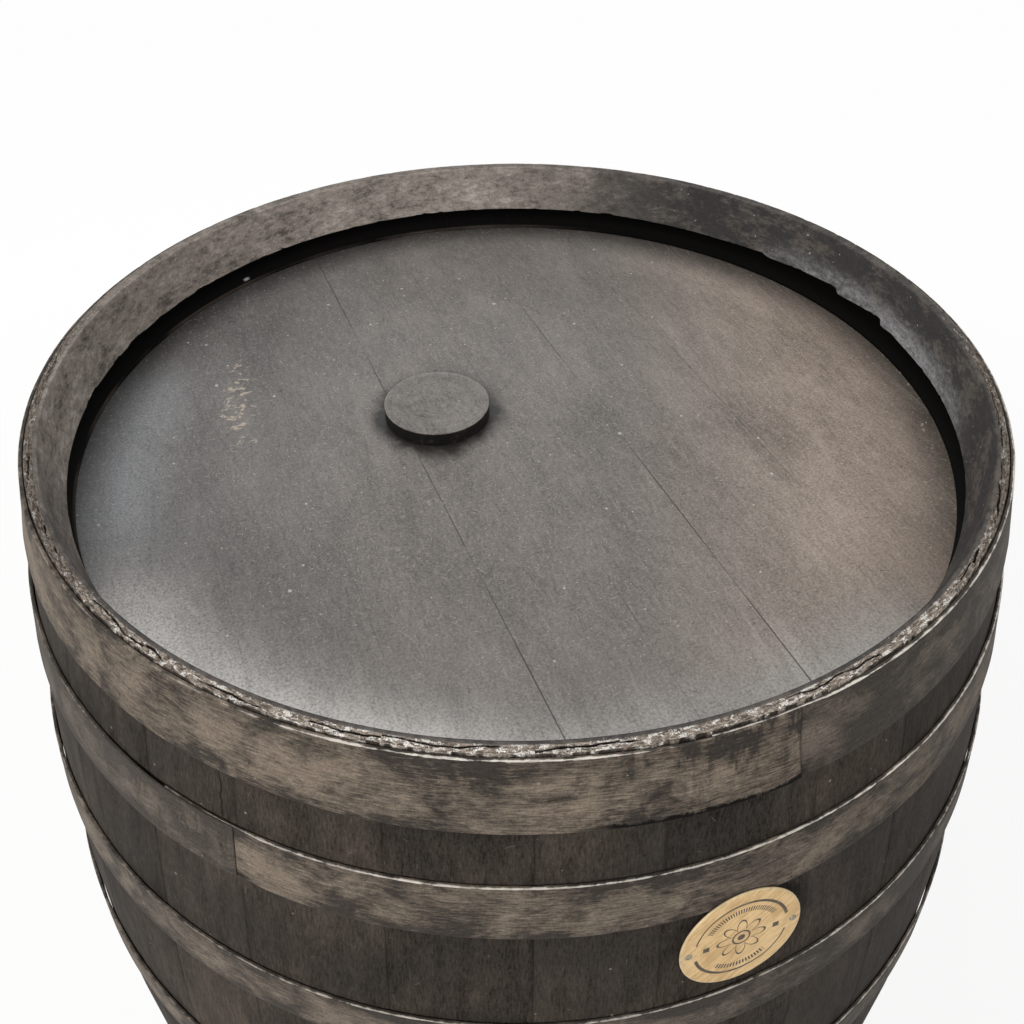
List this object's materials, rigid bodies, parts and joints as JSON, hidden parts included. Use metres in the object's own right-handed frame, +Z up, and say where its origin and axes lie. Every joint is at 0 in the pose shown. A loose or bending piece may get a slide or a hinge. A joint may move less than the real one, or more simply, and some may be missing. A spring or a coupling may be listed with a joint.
{
  "type": "wine barrel",
  "caption": "Upright black-painted oak wine barrel with bowed staves, riveted steel hoops, recessed boarded heads, a lift-out bung in the upper head and a plug in the bilge.",
  "frame": {"origin": "middle of the base, on the cask's axis where the lower stave ends rest", "axes": "+Z up along the cask's axis; -Y is the side with the badge, +Y the side with the bilge bung"},
  "size_m": [0.6898, 0.6899, 0.95],
  "materials": {
    "stave_paint": "worn matt black paint over oak",
    "head_paint": "worn satin black paint over oak",
    "hoop_paint": "brushed-on black paint, worn through at the edges",
    "bare_oak": "bare oak",
    "badge_metal": "brushed, dark print",
    "nail_steel": "plain"
  },
  "bodies": {
    "cask": {"stave_01": "stave_paint", "stave_02": "stave_paint", "stave_03": "stave_paint", "stave_04": "stave_paint", "stave_05": "stave_paint", "stave_06": "stave_paint", "stave_07": "stave_paint", "stave_08": "stave_paint", "stave_09": "stave_paint", "stave_10": "stave_paint", "stave_11": "stave_paint", "stave_12": "stave_paint", "stave_13": "stave_paint", "stave_14": "stave_paint", "bung_stave": "stave_paint", "stave_16": "stave_paint", "stave_17": "stave_paint", "stave_18": "stave_paint", "stave_19": "stave_paint", "stave_20": "stave_paint", "stave_21": "stave_paint", "stave_22": "stave_paint", "stave_23": "stave_paint", "stave_24": "stave_paint", "stave_25": "stave_paint", "stave_26": "stave_paint", "stave_27": "stave_paint", "stave_28": "stave_paint", "upper_chime_hoop": "hoop_paint", "upper_collar_hoop": "hoop_paint", "upper_quarter_hoop": "hoop_paint", "upper_bilge_hoop": "hoop_paint", "lower_chime_hoop": "hoop_paint", "lower_collar_hoop": "hoop_paint", "lower_quarter_hoop": "hoop_paint", "lower_bilge_hoop": "hoop_paint", "hoop_rivets": "hoop_paint", "upper_head_board_1": "head_paint", "upper_head_board_2": "head_paint", "upper_head_board_3": "head_paint", "upper_head_board_4": "head_paint", "upper_head_board_5": "head_paint", "upper_head_board_6": "head_paint", "upper_head_board_7": "head_paint", "upper_head_board_8": "head_paint", "lower_head_board_1": "head_paint", "lower_head_board_2": "head_paint", "lower_head_board_3": "head_paint", "lower_head_board_4": "head_paint", "lower_head_board_5": "head_paint", "lower_head_board_6": "head_paint", "lower_head_board_7": "head_paint", "lower_head_board_8": "head_paint", "upper_head_dowels": "bare_oak", "lower_head_dowels": "bare_oak", "badge": "badge_metal", "badge_nails": "nail_steel"},
    "head_bung": {"head_bung": "head_paint"},
    "bilge_bung": {"bilge_bung": "stave_paint"}
  },
  "joints": [
    {"name": "head_bung_lift", "type": "slide", "parent": "cask", "child": "head_bung", "axis": [0, 0, 1], "range_m": [0, 0.1]},
    {"name": "bilge_bung_draw", "type": "slide", "parent": "cask", "child": "bilge_bung", "axis": [0, 1, 0], "range_m": [0, 0.06]}
  ]
}
